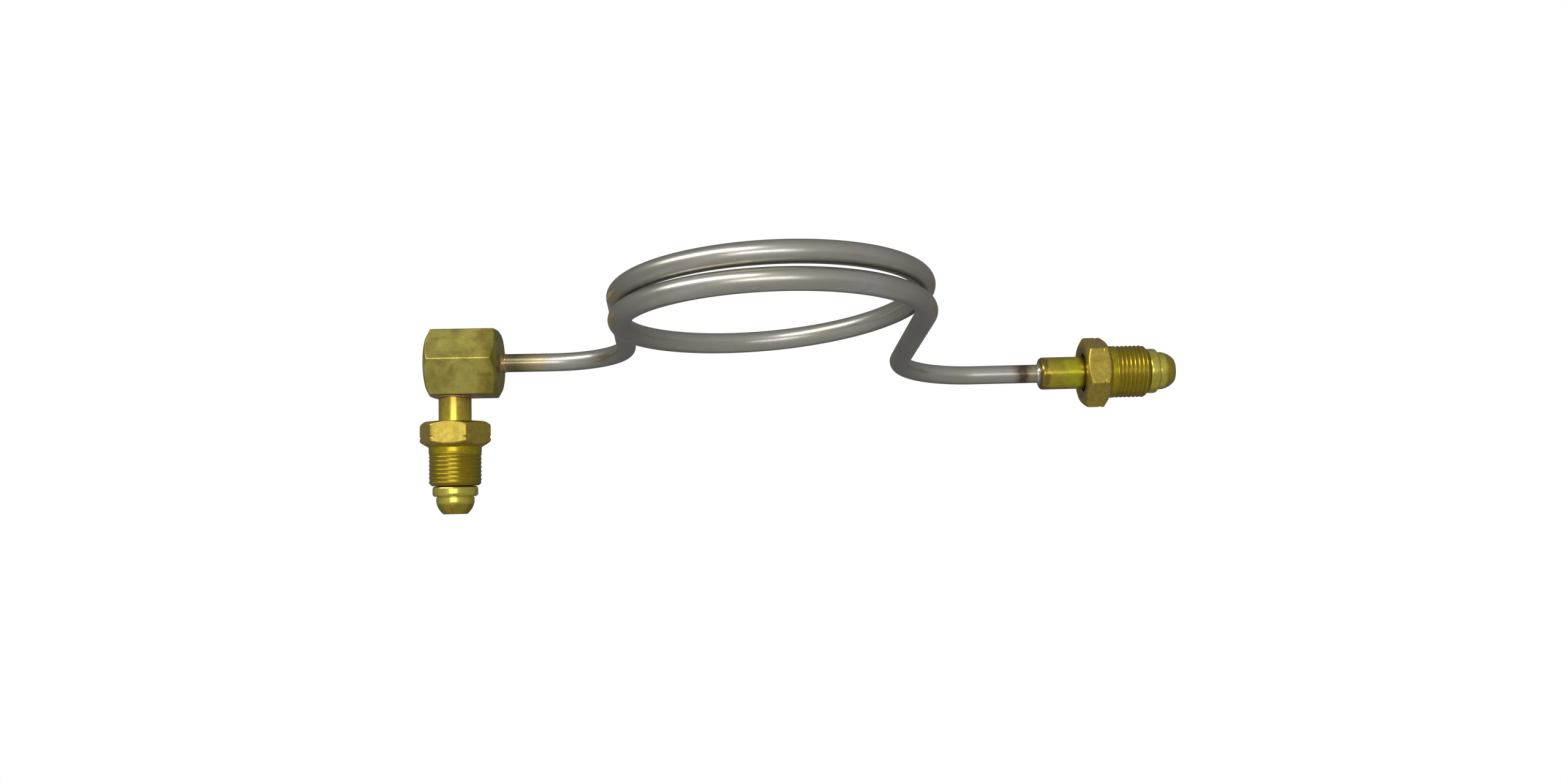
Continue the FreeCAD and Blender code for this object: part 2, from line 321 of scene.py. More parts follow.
def lathe(name, outline, angles, shape=None, closed=True):
    """A mesh turned about local Z. shape(angle, radius, height) gives each point's final radius."""
    vertices = []
    for point in outline:
        for angle in angles:
            r = point.x if shape is None else shape(angle, point.x, point.y)
            vertices.append((r * math.cos(angle), r * math.sin(angle), point.y))
    rings = len(outline)
    columns = len(angles)
    faces = []
    for i in range(rings if closed else rings - 1):
        upper = (i + 1) % rings
        for j in range(columns):
            k = (j + 1) % columns
            faces.append((i * columns + j, i * columns + k, upper * columns + k, upper * columns + j))
    if not closed:
        faces.append(tuple(range(columns))[::-1])
        faces.append(tuple(range((rings - 1) * columns, rings * columns)))
    mesh = bpy.data.meshes.new(name)
    mesh.from_pydata(vertices, [], faces)
    mesh.validate()
    return mesh


def face_outwards(mesh):
    """Turn every face so that its normal leaves the solid."""
    work = bmesh.new()
    work.from_mesh(mesh)
    bmesh.ops.recalc_face_normals(work, faces=work.faces)
    work.to_mesh(mesh)
    work.free()


def even_angles(count):
    return [2 * math.pi * k / count for k in range(count)]


def hexagon_angles(turn, per_side):
    """Angles around a hexagon, closer together towards its corners."""
    angles = []
    for side in range(6):
        for k in range(per_side):
            t = 2 * k / per_side - 1
            within = 30 * (t + CORNER_CROWDING * math.sin(math.pi * t) / math.pi)
            angles.append(math.radians(60 * side + turn + within))
    return angles


def hexagon_radius(angle, flats, turn, corner_rounding):
    """Distance from the axis to a hexagon whose corners are slightly rounded."""
    from_flat = (math.degrees(angle) - turn + 30) % 60 - 30
    apothem = flats / 2
    centre = (apothem - corner_rounding) / math.cos(math.radians(30))
    from_corner = math.radians(30 - abs(from_flat))
    reach = corner_rounding * math.sin(math.radians(30))
    edge = math.atan2(reach, centre + corner_rounding * math.cos(math.radians(30)))
    if from_corner >= edge:
        return apothem / math.cos(math.radians(from_flat))
    across = centre * math.sin(from_corner)
    return centre * math.cos(from_corner) + math.sqrt(corner_rounding ** 2 - across ** 2)


def soft_min(a, b, width):
    """The smaller of two radii, blended where they are close so that the edge is rounded."""
    h = max(width - abs(a - b), 0) / width
    return min(a, b) - h * h * width / 4


def put(mesh, name, matrix, body, material, replaced=()):
    """An object of that mesh in the row frame, riding on a body."""
    face_outwards(mesh)
    mesh.polygons.foreach_set("use_smooth", [True] * len(mesh.polygons))
    piece = bpy.data.objects.new(name, mesh)
    bpy.context.scene.collection.objects.link(piece)
    piece.matrix_world = matrix
    mesh.materials.append(material)
    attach(piece, body)
    if replaced:
        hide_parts(*replaced)
    return piece


# ======== tube ========

class BentLine:
    """Stations along straight runs and tangent arcs, each with its place and a frame that never twists."""

    def __init__(self, start, heading):
        self.point = start
        self.heading = heading
        self.side = heading.cross(Vector((0, 0, 1))).normalized()
        self.distance = 0.0
        self.stations = [(start, heading, self.side, 0.0)]

    def note(self):
        self.stations.append((self.point, self.heading, self.side, self.distance))

    def run(self, length):
        steps = math.ceil(length / TUBE_STEP)
        for _ in range(steps):
            self.point = self.point + self.heading * (length / steps)
            self.distance += length / steps
            self.note()

    def bend_to(self, heading, radius):
        turn = self.heading.angle(heading)
        axis = self.heading.cross(heading).normalized()
        centre = self.point + axis.cross(self.heading) * radius
        steps = math.ceil(turn * radius / TUBE_STEP)
        step = Quaternion(axis, turn / steps)
        for _ in range(steps):
            self.point = centre + step @ (self.point - centre)
            self.heading = step @ self.heading
            self.side = step @ self.side
            self.distance += turn * radius / steps
            self.note()
        self.heading = heading


def tube_line(start, heading):
    line = BentLine(start, heading)
    line.run(SOCKET_DEPTH + LEFT_LEG_LENGTH)
    line.bend_to(direction(*LEFT_SIDE), LEFT_BEND_R)
    line.run(LEFT_SIDE_LENGTH)
    for step in range(1, LOOP_STEPS):
        half, within = divmod(step, STEPS_PER_HALF)
        climb = LOOP_CLIMBS[half]
        if within == 0:
            climb = (LOOP_CLIMBS[half - 1] + LOOP_CLIMBS[half]) / 2
        line.bend_to(direction(LOOP_START + step * 180 / STEPS_PER_HALF, climb), LOOP_R)
    line.bend_to(direction(*RIGHT_SIDE), LOOP_R)
    line.run(RIGHT_SIDE_LENGTH)
    line.bend_to(direction(*RIGHT_LEG), RIGHT_BEND_R)
    line.run(RIGHT_LEG_LENGTH + SOCKET_DEPTH)
    return line


def tube_mesh(line):
    """The tube's two walls. The attribute "unbent" holds each point's place in the tube laid straight."""
    vertices = []
    unbent = []
    for radius in (TUBE_R, TUBE_BORE_R):
        for place, heading, side, distance in line.stations:
            up = heading.cross(side)
            for angle in even_angles(TUBE_COLUMNS):
                out = side * math.cos(angle) + up * math.sin(angle)
                vertices.append(place + out * radius)
                unbent.extend((radius * math.cos(angle), radius * math.sin(angle), distance))
    rings = len(line.stations)
    faces = []
    order = list(range(rings)) + list(range(2 * rings - 1, rings - 1, -1))
    for k in range(len(order)):
        near = order[k] * TUBE_COLUMNS
        far = order[(k + 1) % len(order)] * TUBE_COLUMNS
        for j in range(TUBE_COLUMNS):
            i = (j + 1) % TUBE_COLUMNS
            faces.append((near + j, near + i, far + i, far + j))
    mesh = bpy.data.meshes.new("tube")
    mesh.from_pydata(vertices, [], faces)
    attribute = mesh.attributes.new("unbent", "FLOAT_VECTOR", "POINT")
    attribute.data.foreach_set("vector", unbent)
    return mesh


# ======== nuts ========

def thread_groove(from_middle):
    """Depth of the thread's groove at a distance along the axis from the middle of the groove."""
    flank = (GROOVE_HALF_WIDTH - abs(from_middle)) * math.sqrt(3)
    return max(0.0, soft_min(flank, THREAD_DEPTH, GROOVE_BLEND))


def nut_mesh(turn):
    """A nut in its nipple's frame: hexagon with chamfers and marking groove, left-hand thread and bore."""
    end = -COLLAR_LENGTH - NUT_GAP
    front = end - THREAD_LENGTH
    rear = front - NUT_HEX_LENGTH
    corner_r = NUT_FLATS / 2 / math.cos(math.radians(30))
    mark = rear + MARK_FROM_REAR
    corners = [
        (NUT_BORE_R, rear + NUT_BORE_CHAMFER, NUT_BORE_ROUND),
        (NUT_BORE_R + NUT_BORE_CHAMFER, rear, NUT_REAR_ROUND),
        (NUT_TOP_CHAMFER_R, rear, NUT_RIM_ROUND),
        (corner_r, rear + (corner_r - NUT_TOP_CHAMFER_R) * CHAMFER_SLOPE, NUT_CORNER_ROUND),
        (corner_r, mark - MARK_HALF_WIDTH, MARK_ROUND),
        (MARK_R, mark, SHARP),
        (corner_r, mark + MARK_HALF_WIDTH, MARK_ROUND),
        (corner_r, front - (corner_r - THREAD_R) * CHAMFER_SLOPE, NUT_FRONT_ROUND),
        (THREAD_R, front, THREAD_FOOT_ROUND),
        (THREAD_R, end - THREAD_CHAMFER, THREAD_END_ROUND),
        (THREAD_R - THREAD_CHAMFER, end, THREAD_LIP_ROUND),
        (NUT_BORE_R + NUT_BORE_MOUTH, end, SHARP),
        (NUT_BORE_R, end - NUT_BORE_MOUTH, SHARP)]
    outline = []
    for here, there in pairs(rounded_outline(corners)):
        outside = min(here.x, there.x) > NUT_BORE_R + NUT_BORE_MOUTH
        on_thread = outside and min(here.y, there.y) > front - SHARP
        outline.extend(divided([here, there], THREAD_STEP if on_thread else OUTLINE_STEP, False)[:-1])

    def shape(angle, r, z):
        if r < NUT_BORE_R + 1.5 * NUT_BORE_CHAMFER:
            return r
        if z < front:
            return soft_min(r, hexagon_radius(angle, NUT_FLATS, turn, NUT_EDGE_ROUND), NUT_FACE_BLEND)
        from_band = (z - front - PLAIN_BAND) / THREAD_PITCH
        fade = min(1.0, max(0.0, from_band))
        phase = (z / THREAD_PITCH + angle / (2 * math.pi)) % 1 - 0.5
        return min(r, THREAD_R - fade * thread_groove(phase * THREAD_PITCH))

    return lathe("nut", outline, hexagon_angles(turn, HEXAGON_COLUMNS), shape)


# ======== nipples and bar ========

def nose_corners():
    """Corners of a nipple's outline from the collar's rear to the tip's bore."""
    slant = Vector((TIP_R - BULLET_R, TIP_HEIGHT - BULLET_LENGTH))
    outward = Vector((slant.y, -slant.x)).normalized()
    corners = [
        (COLLAR_R, -COLLAR_LENGTH, COLLAR_ROUND_REAR),
        (COLLAR_R, 0, COLLAR_ROUND),
        (NECK_R, 0, FINE_ROUND),
        (NECK_R, NECK_LENGTH, FINE_ROUND),
        (BULLET_R, NECK_LENGTH, BULLET_FOOT_ROUND),
        (BULLET_R, BULLET_LENGTH, BULLET_ROUND)]
    for share in (0.25, 0.5, 0.75):
        bulge = TIP_BULGE * 4 * share * (1 - share)
        r = BULLET_R + slant.x * share + outward.x * bulge
        z = BULLET_LENGTH + slant.y * share + outward.y * bulge
        corners.append((r, z, BULLET_ROUND))
    corners.append((TIP_R, TIP_HEIGHT, TIP_ROUND))
    corners.append((GAS_WAY_R + GAS_WAY_CHAMFER, TIP_HEIGHT, FINE_ROUND))
    corners.append((GAS_WAY_R, TIP_HEIGHT - GAS_WAY_CHAMFER, FINE_ROUND))
    return corners


def nick(angle, r, z):
    """A small dent down the taper of the elbow's nose, as from a knock with a tool."""
    along = (z - NICK_TOP) / (TIP_HEIGHT - NICK_TOP)
    if along <= 0 or r < TIP_R - WALL_MARGIN:
        return r
    across = (angle - NICK_ANGLE - along * NICK_SLANT) * r
    return r - NICK_DEPTH * min(1.0, NICK_FADE * along) * math.exp(-(across / NICK_HALF_WIDTH) ** 2)


def nipple_mesh(rear_corners, shape=None):
    """A nipple turned about its axis: shank, collar, bullet and the gas way through it."""
    corners = rear_corners + [(SHANK_R, -COLLAR_LENGTH, SHANK_ROUND)] + nose_corners()
    angles = even_angles(NIPPLE_COLUMNS)
    if shape:
        extra = [NICK_ANGLE + NICK_COLUMN_STEP * k for k in range(-NICK_COLUMNS, NICK_COLUMNS + 1)]
        angles = sorted(angles + extra)
    outline = divided(rounded_outline(corners), OUTLINE_STEP, True)
    return lathe("nipple", outline, angles, shape)


def bar_mesh():
    """The elbow's hexagon bar about its own axis, tube end up, without the nipple's socket."""
    corner_r = BAR_FLATS / 2 / math.cos(math.radians(30))
    setback = (corner_r - BAR_END_R) * CHAMFER_SLOPE
    corners = [
        (BAR_CAP_R, -BAR_TO_BLIND_END, 0),
        (BAR_END_R, -BAR_TO_BLIND_END, BAR_CORNER_ROUND),
        (corner_r, -BAR_TO_BLIND_END + setback, BAR_CORNER_ROUND),
        (corner_r, BAR_TO_TUBE_END - setback, BAR_CORNER_ROUND),
        (BAR_END_R, BAR_TO_TUBE_END, BAR_CORNER_ROUND),
        (TUBE_R, BAR_TO_TUBE_END, SHARP),
        (TUBE_R, BAR_TO_TUBE_END - SOCKET_DEPTH, 0),
        (GAS_WAY_R, BAR_TO_TUBE_END - SOCKET_DEPTH, 0),
        (GAS_WAY_R, 0, 0)]

    def shape(angle, r, z):
        if r < BAR_END_R - WALL_MARGIN:
            return r
        return soft_min(r, hexagon_radius(angle, BAR_FLATS, BAR_TURN, BAR_EDGE_ROUND), BAR_FACE_BLEND)

    outline = divided(rounded_outline(corners), BAR_STEP, False)
    return lathe("bar", outline, hexagon_angles(BAR_TURN, HEXAGON_COLUMNS), shape, closed=False)


def cut_nipple_socket(bar):
    """Drill the nipple's socket and the cross way into the bar, from its local X side."""
    floor = BAR_FLATS / 2 - NIPPLE_SOCKET_DEPTH
    corners = [
        (DRILL_CORE_R, -GAS_WAY_R),
        (GAS_WAY_R, -GAS_WAY_R),
        (GAS_WAY_R, floor),
        (SHANK_R, floor),
        (SHANK_R, BAR_FLATS),
        (DRILL_CORE_R, BAR_FLATS)]
    drill_mesh = lathe("drill", [Vector(c) for c in corners], even_angles(DRILL_COLUMNS), closed=False)
    face_outwards(drill_mesh)
    drill = bpy.data.objects.new("drill", drill_mesh)
    bpy.context.scene.collection.objects.link(drill)
    drill.matrix_world = bar.matrix_world @ Matrix.Rotation(math.radians(90), 4, "Y")
    cut = bar.modifiers.new("socket", "BOOLEAN")
    cut.operation = "DIFFERENCE"
    cut.solver = "EXACT"
    cut.object = drill
    bpy.context.view_layer.update()
    graph = bpy.context.evaluated_depsgraph_get()
    finished = bpy.data.meshes.new_from_object(bar.evaluated_get(graph))
    bar.modifiers.clear()
    bar.data = finished
    bpy.data.objects.remove(drill)


# ======== braze ========

def ragged(angle, seed):
    """Unevenness of a hand-made joint around its axis, about -1 to 1."""
    place = Vector((1.3 * math.cos(angle), 1.3 * math.sin(angle), seed))
    return 2.2 * noise.noise(place) + 0.8 * noise.noise(place * 3.1)


def braze_mesh(inner_r, leg, lead, seed):
    """A fillet of braze on a face at height 0 around a round piece, with a thin lead along the piece."""
    outline = [(inner_r - BRAZE_INSIDE, 0.0), (inner_r + leg, 0.0)]
    for k in range(1, BRAZE_ARC_STEPS):
        turn = math.radians(90 * k / BRAZE_ARC_STEPS)
        swing = (leg - BRAZE_FILM) * (1 - math.sin(turn))
        outline.append((inner_r + BRAZE_FILM + swing, leg * (1 - math.cos(turn))))
    film = [(1, leg), (1, leg + (lead - leg) * 0.5), (0.9, lead - BRAZE_THINNING), (0.5, lead)]
    for share, height in film:
        outline.append((inner_r + BRAZE_FILM * share, height))
    outline.append((inner_r - BRAZE_INSIDE, lead))
    points = divided([Vector(p) for p in outline], BRAZE_STEP, True)
    mesh = lathe("braze", points, even_angles(BRAZE_COLUMNS))
    for vertex in mesh.vertices:
        r = math.hypot(vertex.co.x, vertex.co.y)
        angle = math.atan2(vertex.co.y, vertex.co.x)
        swell = 1 + BRAZE_SWELL * ragged(angle, seed + vertex.co.z / (2 * MM))
        reach = 1 + BRAZE_REACH * ragged(angle, seed + 7)
        if r > inner_r:
            new_r = inner_r + (r - inner_r) * swell
            vertex.co.x *= new_r / r
            vertex.co.y *= new_r / r
        vertex.co.z *= reach
    return mesh


# ======== materials ========

class Look:
    """A metal built from nodes: colour, roughness and relief follow the place on the piece."""

    def __init__(self, name, roughness):
        self.material = bpy.data.materials.new(name)
        self.material.use_nodes = True
        self.tree = self.material.node_tree
        self.shader = self.tree.nodes["Principled BSDF"]
        self.shader.inputs["Metallic"].default_value = 1.0
        self.shader.inputs["Roughness"].default_value = roughness
        self.relief = None

    def node(self, kind, settings=None, **inputs):
        node = self.tree.nodes.new(kind)
        for key, value in (settings or {}).items():
            setattr(node, key, value)
        for key, value in inputs.items():
            self.feed(node.inputs[key.replace("_", " ")], value)
        return node

    def feed(self, socket, value):
        if isinstance(value, bpy.types.NodeSocket):
            self.tree.links.new(value, socket)
        else:
            socket.default_value = value

    def place(self):
        return self.node("ShaderNodeTexCoord").outputs["Object"]

    def multiply(self, vector, factors):
        node = self.tree.nodes.new("ShaderNodeVectorMath")
        node.operation = "MULTIPLY"
        self.feed(node.inputs[0], vector)
        self.feed(node.inputs[1], factors)
        return node.outputs[0]

    def noise(self, vector, size, detail=3.0, rough=0.55, distortion=0.0):
        """Noise of about 0 to 1 whose spots are of that size in metres."""
        return self.node("ShaderNodeTexNoise", None, Vector=vector, Scale=1 / size, Detail=detail,
                         Roughness=rough, Distortion=distortion).outputs["Fac"]

    def sum(self, a, b, operation="ADD"):
        node = self.tree.nodes.new("ShaderNodeMath")
        node.operation = operation
        self.feed(node.inputs[0], a)
        self.feed(node.inputs[1], b)
        return node.outputs[0]

    def part(self, vector, axis):
        return self.node("ShaderNodeSeparateXYZ", None, Vector=vector).outputs[axis]

    def spread(self, value, low, high, to_low=0.0, to_high=1.0):
        node = self.node("ShaderNodeMapRange", None, Value=value)
        node.inputs["From Min"].default_value = low
        node.inputs["From Max"].default_value = high
        node.inputs["To Min"].default_value = to_low
        node.inputs["To Max"].default_value = to_high
        return node.outputs["Result"]

    def ramp(self, value, stops):
        """Colours along a value from 0 to 1."""
        node = self.node("ShaderNodeValToRGB", None, Fac=value)
        band = node.color_ramp
        while len(band.elements) < len(stops):
            band.elements.new(0.5)
        for element, (position, colour) in zip(band.elements, stops):
            element.position = position
            element.color = (*colour, 1.0)
        return node.outputs["Color"]

    def mix(self, share, a, b, blend="MIX"):
        node = self.tree.nodes.new("ShaderNodeMix")
        node.data_type = "RGBA"
        node.blend_type = blend
        self.feed(node.inputs["Factor"], share)
        for name, value in (("A", a), ("B", b)):
            socket = [i for i in node.inputs if i.name == name and i.type == "RGBA"][0]
            self.feed(socket, value if isinstance(value, bpy.types.NodeSocket) else (*value, 1.0))
        return [o for o in node.outputs if o.type == "RGBA"][0]

    def bump(self, height, depth, strength=1.0):
        """Relief of that depth in metres, on top of any relief so far."""
        node = self.node("ShaderNodeBump", None, Height=height, Distance=depth, Strength=strength)
        if self.relief:
            self.tree.links.new(self.relief, node.inputs["Normal"])
        self.relief = node.outputs["Normal"]

    def finish(self, colour, roughness=None):
        self.feed(self.shader.inputs["Base Color"], colour)
        if roughness:
            self.feed(self.shader.inputs["Roughness"], roughness)
        if self.relief:
            self.feed(self.shader.inputs["Normal"], self.relief)
        return self.material


def along(look, distance, tints, wander):
    """Colours against distance in millimetres, their edges wandering by that noise; (mm, colour) stops."""
    longest = tints[-1][0]
    moved = look.sum(distance, wander)
    share = look.spread(moved, 0.0, longest * MM)
    return look.ramp(share, [(mm / longest, colour) for mm, colour in tints])


def steel(length):
    look = Look("satin_steel", 0.3)
    straight = look.node("ShaderNodeAttribute", {"attribute_name": "unbent"}).outputs["Vector"]
    drawn = look.noise(look.multiply(straight, (1, 1, 0.03)), 0.35 * MM, 4)
    grain = look.noise(look.multiply(straight, (1, 1, 0.5)), 0.16 * MM, 2)
    warm_reflection_patches = look.noise(straight, 22 * MM, 3)
    cloudy = look.noise(straight, 4 * MM, 4, 0.6)
    # large warm patches mixed into the steel's colour: painted warm reflection of the surroundings
    colour = look.mix(look.spread(warm_reflection_patches, 0.35, 0.65), STEEL_COOL, STEEL_WARM_PAINTED_REFLECTION)
    colour = look.mix(look.spread(cloudy, 0.3, 0.7, 0.0, 0.35), colour, STEEL_DULL)
    colour = look.mix(look.spread(grain, 0.3, 0.7, 0.0, 0.3), colour, STEEL_DULL)
    distance = look.part(straight, "Z")
    wander = look.spread(look.noise(straight, 6 * MM, 3), 0.2, 0.8, -2.2 * MM, 2.2 * MM)
    from_left = look.sum(distance, SOCKET_DEPTH, "SUBTRACT")
    from_right = look.sum(length - SOCKET_DEPTH, distance, "SUBTRACT")
    left = along(look, from_left, LEFT_HEAT, wander)
    right = along(look, from_right, RIGHT_HEAT, wander)
    colour = look.mix(1.0, colour, left, "MULTIPLY")
    colour = look.mix(1.0, colour, right, "MULTIPLY")
    rough = look.sum(look.spread(drawn, 0.25, 0.75, 0.23, 0.33), look.spread(cloudy, 0.3, 0.7, 0.0, 0.07))
    look.bump(grain, 0.0015 * MM)
    look.bump(drawn, 0.003 * MM)
    return look.finish(colour, rough)


def nut_brass():
    look = Look("nut_brass", 0.4)
    place = look.place()
    grain = look.noise(place, 0.22 * MM, 3, 0.6)
    mottle = look.noise(place, 1.6 * MM, 4, 0.6)
    stain = look.noise(place, 7 * MM, 3, 0.6, 0.6)
    colour = look.mix(look.spread(mottle, 0.3, 0.7), NUT_DARK, NUT_LIGHT)
    colour = look.mix(look.spread(stain, 0.45, 0.75, 0.0, 0.55), colour, NUT_STAIN)
    flat_place = look.multiply(place, (1, 1, 0))
    radius = look.node("ShaderNodeVectorMath", {"operation": "LENGTH"}, Vector=flat_place).outputs["Value"]
    on_thread = look.spread(radius, THREAD_R + 0.4 * MM, THREAD_R, 0.0, 1.0)
    # the thread is painted darker towards the bottom of its grooves: painted shade
    root = look.spread(radius, THREAD_R - 0.05 * MM, THREAD_R - THREAD_DEPTH, 0.0, 0.85)
    colour = look.mix(on_thread, colour, THREAD_GOLD, "MULTIPLY")
    colour = look.mix(root, colour, THREAD_ROOT_SHADE)
    grainy = look.spread(grain, 0.25, 0.75, 0.32, 0.46)
    rough = look.sum(grainy, look.spread(on_thread, 0.0, 1.0, 0.0, -0.08))
    look.bump(mottle, 0.012 * MM)
    look.bump(grain, 0.008 * MM)
    return look.finish(colour, rough)


def nipple_brass(name, tints, rear):
    """Turned brass, heat tinted along the shank behind the collar."""
    look = Look(name, 0.25)
    place = look.place()
    turned = look.noise(look.multiply(place, (0.02, 0.02, 1)), 0.12 * MM, 4, 0.7)
    mottle = look.noise(place, 2.5 * MM, 4, 0.6)
    wander = look.spread(look.noise(place, 5 * MM, 3), 0.2, 0.8, -2.5 * MM, 2.5 * MM)
    colour = look.mix(look.spread(mottle, 0.3, 0.7), TURNED_DARK, TURNED_LIGHT)
    height = look.part(place, "Z")
    tinted = along(look, look.sum(height, -rear), tints, wander)
    colour = look.mix(1.0, colour, tinted, "MULTIPLY")
    # the nose's taper is multiplied darker: painted shade on the taper
    taper = look.spread(height, BULLET_LENGTH + 0.2 * MM, BULLET_LENGTH + 1.2 * MM)
    colour = look.mix(taper, colour, TAPER_SHADE, "MULTIPLY")
    rough = look.sum(look.spread(turned, 0.25, 0.75, 0.15, 0.25), look.spread(mottle, 0.3, 0.7, 0.0, 0.1))
    look.bump(turned, 0.005 * MM)
    return look.finish(colour, rough)


def bar_brass():
    look = Look("bar_brass", 0.35)
    place = look.place()
    drawn = look.noise(look.multiply(place, (1, 1, 0.04)), 0.3 * MM, 4)
    grain = look.noise(place, 0.25 * MM, 3, 0.6)
    clouds = look.noise(place, 9 * MM, 4, 0.6, 0.5)
    spots = look.noise(place, 2.2 * MM, 5, 0.7)
    colour = look.ramp(look.spread(clouds, 0.3, 0.72), BAR_CLOUDS)
    colour = look.mix(look.spread(spots, 0.56, 0.72, 0.0, 0.6), colour, BAR_SPOT)
    wander = look.spread(clouds, 0.2, 0.8, -4 * MM, 4 * MM)
    from_end = look.sum(BAR_TO_TUBE_END, look.part(place, "Z"), "SUBTRACT")
    heat = along(look, from_end, BAR_HEAT, wander)
    colour = look.mix(1.0, colour, heat, "MULTIPLY")
    rough = look.sum(look.spread(drawn, 0.25, 0.75, 0.3, 0.42), look.spread(spots, 0.5, 0.75, 0.0, 0.1))
    look.bump(drawn, 0.008 * MM)
    look.bump(grain, 0.008 * MM)
    return look.finish(colour, rough)


def braze_metal(name, dark, light, roughness):
    look = Look(name, roughness)
    place = look.place()
    lumps = look.noise(place, 0.8 * MM, 3)
    colour = look.mix(look.spread(lumps, 0.35, 0.65), dark, light)
    rough = look.spread(lumps, 0.3, 0.7, roughness - 0.08, roughness + 0.1)
    look.bump(lumps, 0.08 * MM)
    return look.finish(colour, rough)


def pale_floor():
    look = Look("pale_floor", 0.6)
    look.shader.inputs["Metallic"].default_value = 0.0
    mottle = look.noise(look.place(), 0.4, 2)
    return look.finish(look.mix(mottle, FLOOR_LOW, FLOOR_HIGH))


# ======== camera, light and floor ========

def place_camera():
    forward = direction(CAMERA_AZIMUTH, CAMERA_PITCH)
    level = forward.cross(Vector((0, 0, 1))).normalized()
    roll = math.radians(CAMERA_ROLL)
    right = level * math.cos(roll) + level.cross(forward) * math.sin(roll)
    up = right.cross(forward)
    turn = Matrix((right, up, -forward)).transposed().to_4x4()
    data = bpy.data.cameras.new("camera")
    data.sensor_width = 36
    data.lens = CAMERA_LENS
    data.clip_start = 0.01
    camera = bpy.data.objects.new("camera", data)
    bpy.context.scene.collection.objects.link(camera)
    camera.matrix_world = Matrix.Translation(CAMERA_PLACE) @ turn
    bpy.context.scene.camera = camera


def softbox(name, azimuth, elevation, distance, width, height, power, colour):
    """A rectangular light that faces the middle of the object from that direction."""
    low, high = CAD_BOX
    centre = (low + high) / 2
    back = direction(azimuth, elevation)
    data = bpy.data.lights.new(name, "AREA")
    data.shape = "RECTANGLE"
    data.size = width
    data.size_y = height
    data.energy = power
    data.color = colour
    light = bpy.data.objects.new(name, data)
    bpy.context.scene.collection.objects.link(light)
    facing = back.to_track_quat("Z", "Y").to_matrix().to_4x4()
    light.matrix_world = Matrix.Translation(centre + back * distance) @ facing


def studio_world():
    """White to the camera; to the metal, a room that is brighter in front of the object than behind it."""
    world = bpy.data.worlds.new("studio")
    bpy.context.scene.world = world
    world.use_nodes = True
    tree = world.node_tree
    room = tree.nodes["Background"]
    white = tree.nodes.new("ShaderNodeBackground")
    white.inputs["Color"].default_value = (1, 1, 1, 1)
    where = tree.nodes.new("ShaderNodeTexCoord")
    parts = tree.nodes.new("ShaderNodeSeparateXYZ")
    tree.links.new(where.outputs["Generated"], parts.inputs[0])
    depth = tree.nodes.new("ShaderNodeMapRange")
    depth.inputs["From Min"].default_value = 1.0
    depth.inputs["From Max"].default_value = -1.0
    tree.links.new(parts.outputs["Y"], depth.inputs["Value"])
    shades = tree.nodes.new("ShaderNodeValToRGB")
    band = shades.color_ramp
    while len(band.elements) < len(ROOM_SHADES):
        band.elements.new(0.5)
    for element, (position, colour) in zip(band.elements, ROOM_SHADES):
        element.position = position
        element.color = (*colour, 1.0)
    tree.links.new(depth.outputs["Result"], shades.inputs["Fac"])
    tree.links.new(shades.outputs["Color"], room.inputs["Color"])
    choose = tree.nodes.new("ShaderNodeMixShader")
    rays = tree.nodes.new("ShaderNodeLightPath")
    tree.links.new(rays.outputs["Is Camera Ray"], choose.inputs["Fac"])
    tree.links.new(room.outputs[0], choose.inputs[1])
    tree.links.new(white.outputs[0], choose.inputs[2])
    tree.links.new(choose.outputs[0], tree.nodes["World Output"].inputs["Surface"])


def lay_floor():
    """A round pale floor under the object, which hangs above it."""
    low, high = CAD_BOX
    centre = Vector(((low.x + high.x) / 2, FLOOR_REAR - FLOOR_RADIUS, low.z - FLOOR_DROP))
    angles = even_angles(FLOOR_CORNERS)
    ring = [centre + Vector((math.cos(a), math.sin(a), 0)) * FLOOR_RADIUS for a in angles]
    mesh = bpy.data.meshes.new("floor")
    mesh.from_pydata(ring, [], [tuple(range(len(ring)))])
    mesh.materials.append(pale_floor())
    floor = bpy.data.objects.new("floor", mesh)
    bpy.context.scene.collection.objects.link(floor)


# ======== build ========

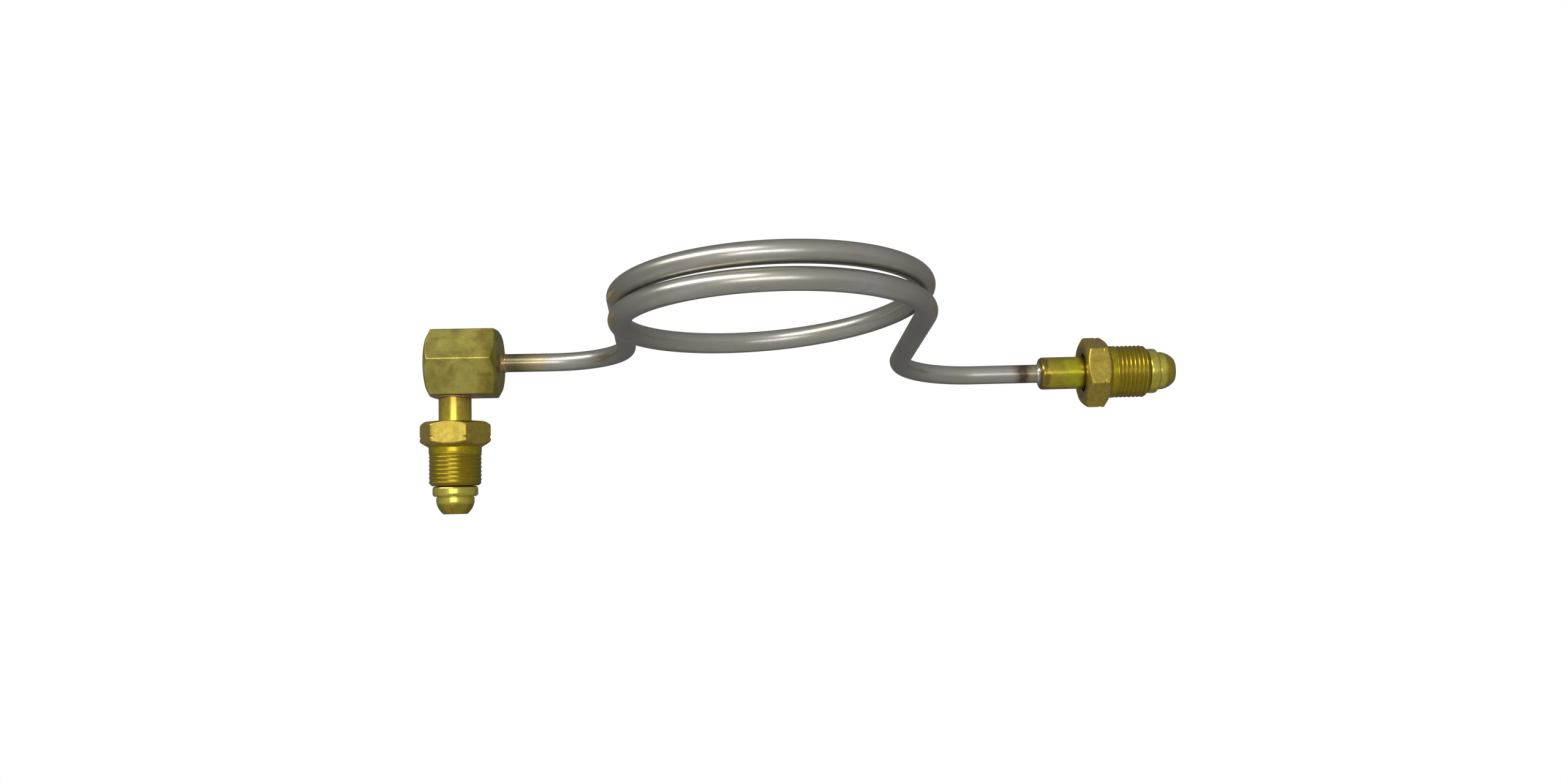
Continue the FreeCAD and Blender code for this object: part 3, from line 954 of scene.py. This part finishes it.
def build():
    leg = direction(*LEFT_LEG)
    seat, nose = mount("elbow_seat")
    straight_seat, straight_axis = mount("straight_seat")
    up = Vector((0, 0, 1))
    bar_middle = seat - nose * BAR_TO_SEAT
    elbow_nose = local_frame(seat, nose, leg)
    elbow_bar = local_frame(bar_middle, leg, nose)
    straight_nose = local_frame(straight_seat, straight_axis, up)
    straight_rear = straight_seat + straight_axis * STRAIGHT_REAR
    tube_end = local_frame(straight_rear, -straight_axis, up)

    line = tube_line(bar_middle + leg * (BAR_TO_TUBE_END - SOCKET_DEPTH), leg)
    put(tube_mesh(line), "bent_tube", Matrix(), "pigtail", steel(line.distance),
        ["coil_tube"])

    bar = put(bar_mesh(), "elbow_bar", elbow_bar, "pigtail", bar_brass(), ["elbow_body"])
    cut_nipple_socket(bar)

    elbow_rear = -BAR_TO_SEAT + BAR_FLATS / 2 - NIPPLE_SOCKET_DEPTH
    elbow_corners = [(GAS_WAY_R, elbow_rear, 0), (SHANK_R, elbow_rear, SHANK_ROUND)]
    put(nipple_mesh(elbow_corners, nick), "elbow_bullet_nipple", elbow_nose, "pigtail",
        nipple_brass("elbow_nipple_brass", ELBOW_HEAT, elbow_rear), ["elbow_nipple"])
    socket = STRAIGHT_REAR + SOCKET_DEPTH
    straight_corners = [
        (GAS_WAY_R, socket, 0),
        (TUBE_R, socket, 0),
        (TUBE_R, STRAIGHT_REAR, SHARP),
        (SHANK_R, STRAIGHT_REAR, STRAIGHT_END_ROUND)]
    put(nipple_mesh(straight_corners), "straight_bullet_nipple", straight_nose, "pigtail",
        nipple_brass("straight_nipple_brass", STRAIGHT_HEAT, STRAIGHT_REAR),
        ["straight_nipple"])

    nut_metal = nut_brass()
    put(nut_mesh(ELBOW_NUT_TURN), "elbow_union_nut", elbow_nose, "elbow_nut",
        nut_metal, ["elbow_nut"])
    put(nut_mesh(STRAIGHT_NUT_TURN), "straight_union_nut", straight_nose, "straight_nut",
        nut_metal, ["straight_nut"])

    bar_face = elbow_bar @ Matrix.Translation((0, 0, BAR_TO_TUBE_END))
    flat_turn = Matrix.Rotation(math.radians(BAR_TURN), 4, "Z")
    outwards = Matrix.Rotation(math.radians(90), 4, "Y")
    on_flat = elbow_bar @ flat_turn @ Matrix.Translation((BAR_FLATS / 2, 0, 0)) @ outwards
    elbow_tube_joint = braze_mesh(TUBE_R, TUBE_FILLET, ELBOW_TUBE_LEAD, 1.0)
    put(elbow_tube_joint, "elbow_tube_fillet", bar_face, "pigtail",
        braze_metal("tube_braze", BRAZE_DARK, BRAZE_LIGHT, 0.25), ["elbow_tube_braze"])
    elbow_nipple_joint = braze_mesh(SHANK_R, NIPPLE_FILLET, ELBOW_NIPPLE_LEAD, 2.0)
    put(elbow_nipple_joint, "elbow_nipple_fillet", on_flat, "pigtail",
        braze_metal("nipple_braze", BRAZE_DARK, BRAZE_LIGHT, 0.3), ["elbow_nipple_braze"])
    straight_tube_joint = braze_mesh(TUBE_R, TUBE_FILLET, STRAIGHT_TUBE_LEAD, 3.0)
    put(straight_tube_joint, "straight_tube_fillet", tube_end, "pigtail",
        braze_metal("silver_braze", SILVER_DARK, SILVER_LIGHT, 0.2), ["straight_nipple_braze"])


build()
place_camera()
studio_world()
lay_floor()
for box in SOFTBOXES:
    softbox(*box)
bpy.context.scene.view_settings.view_transform = "Standard"
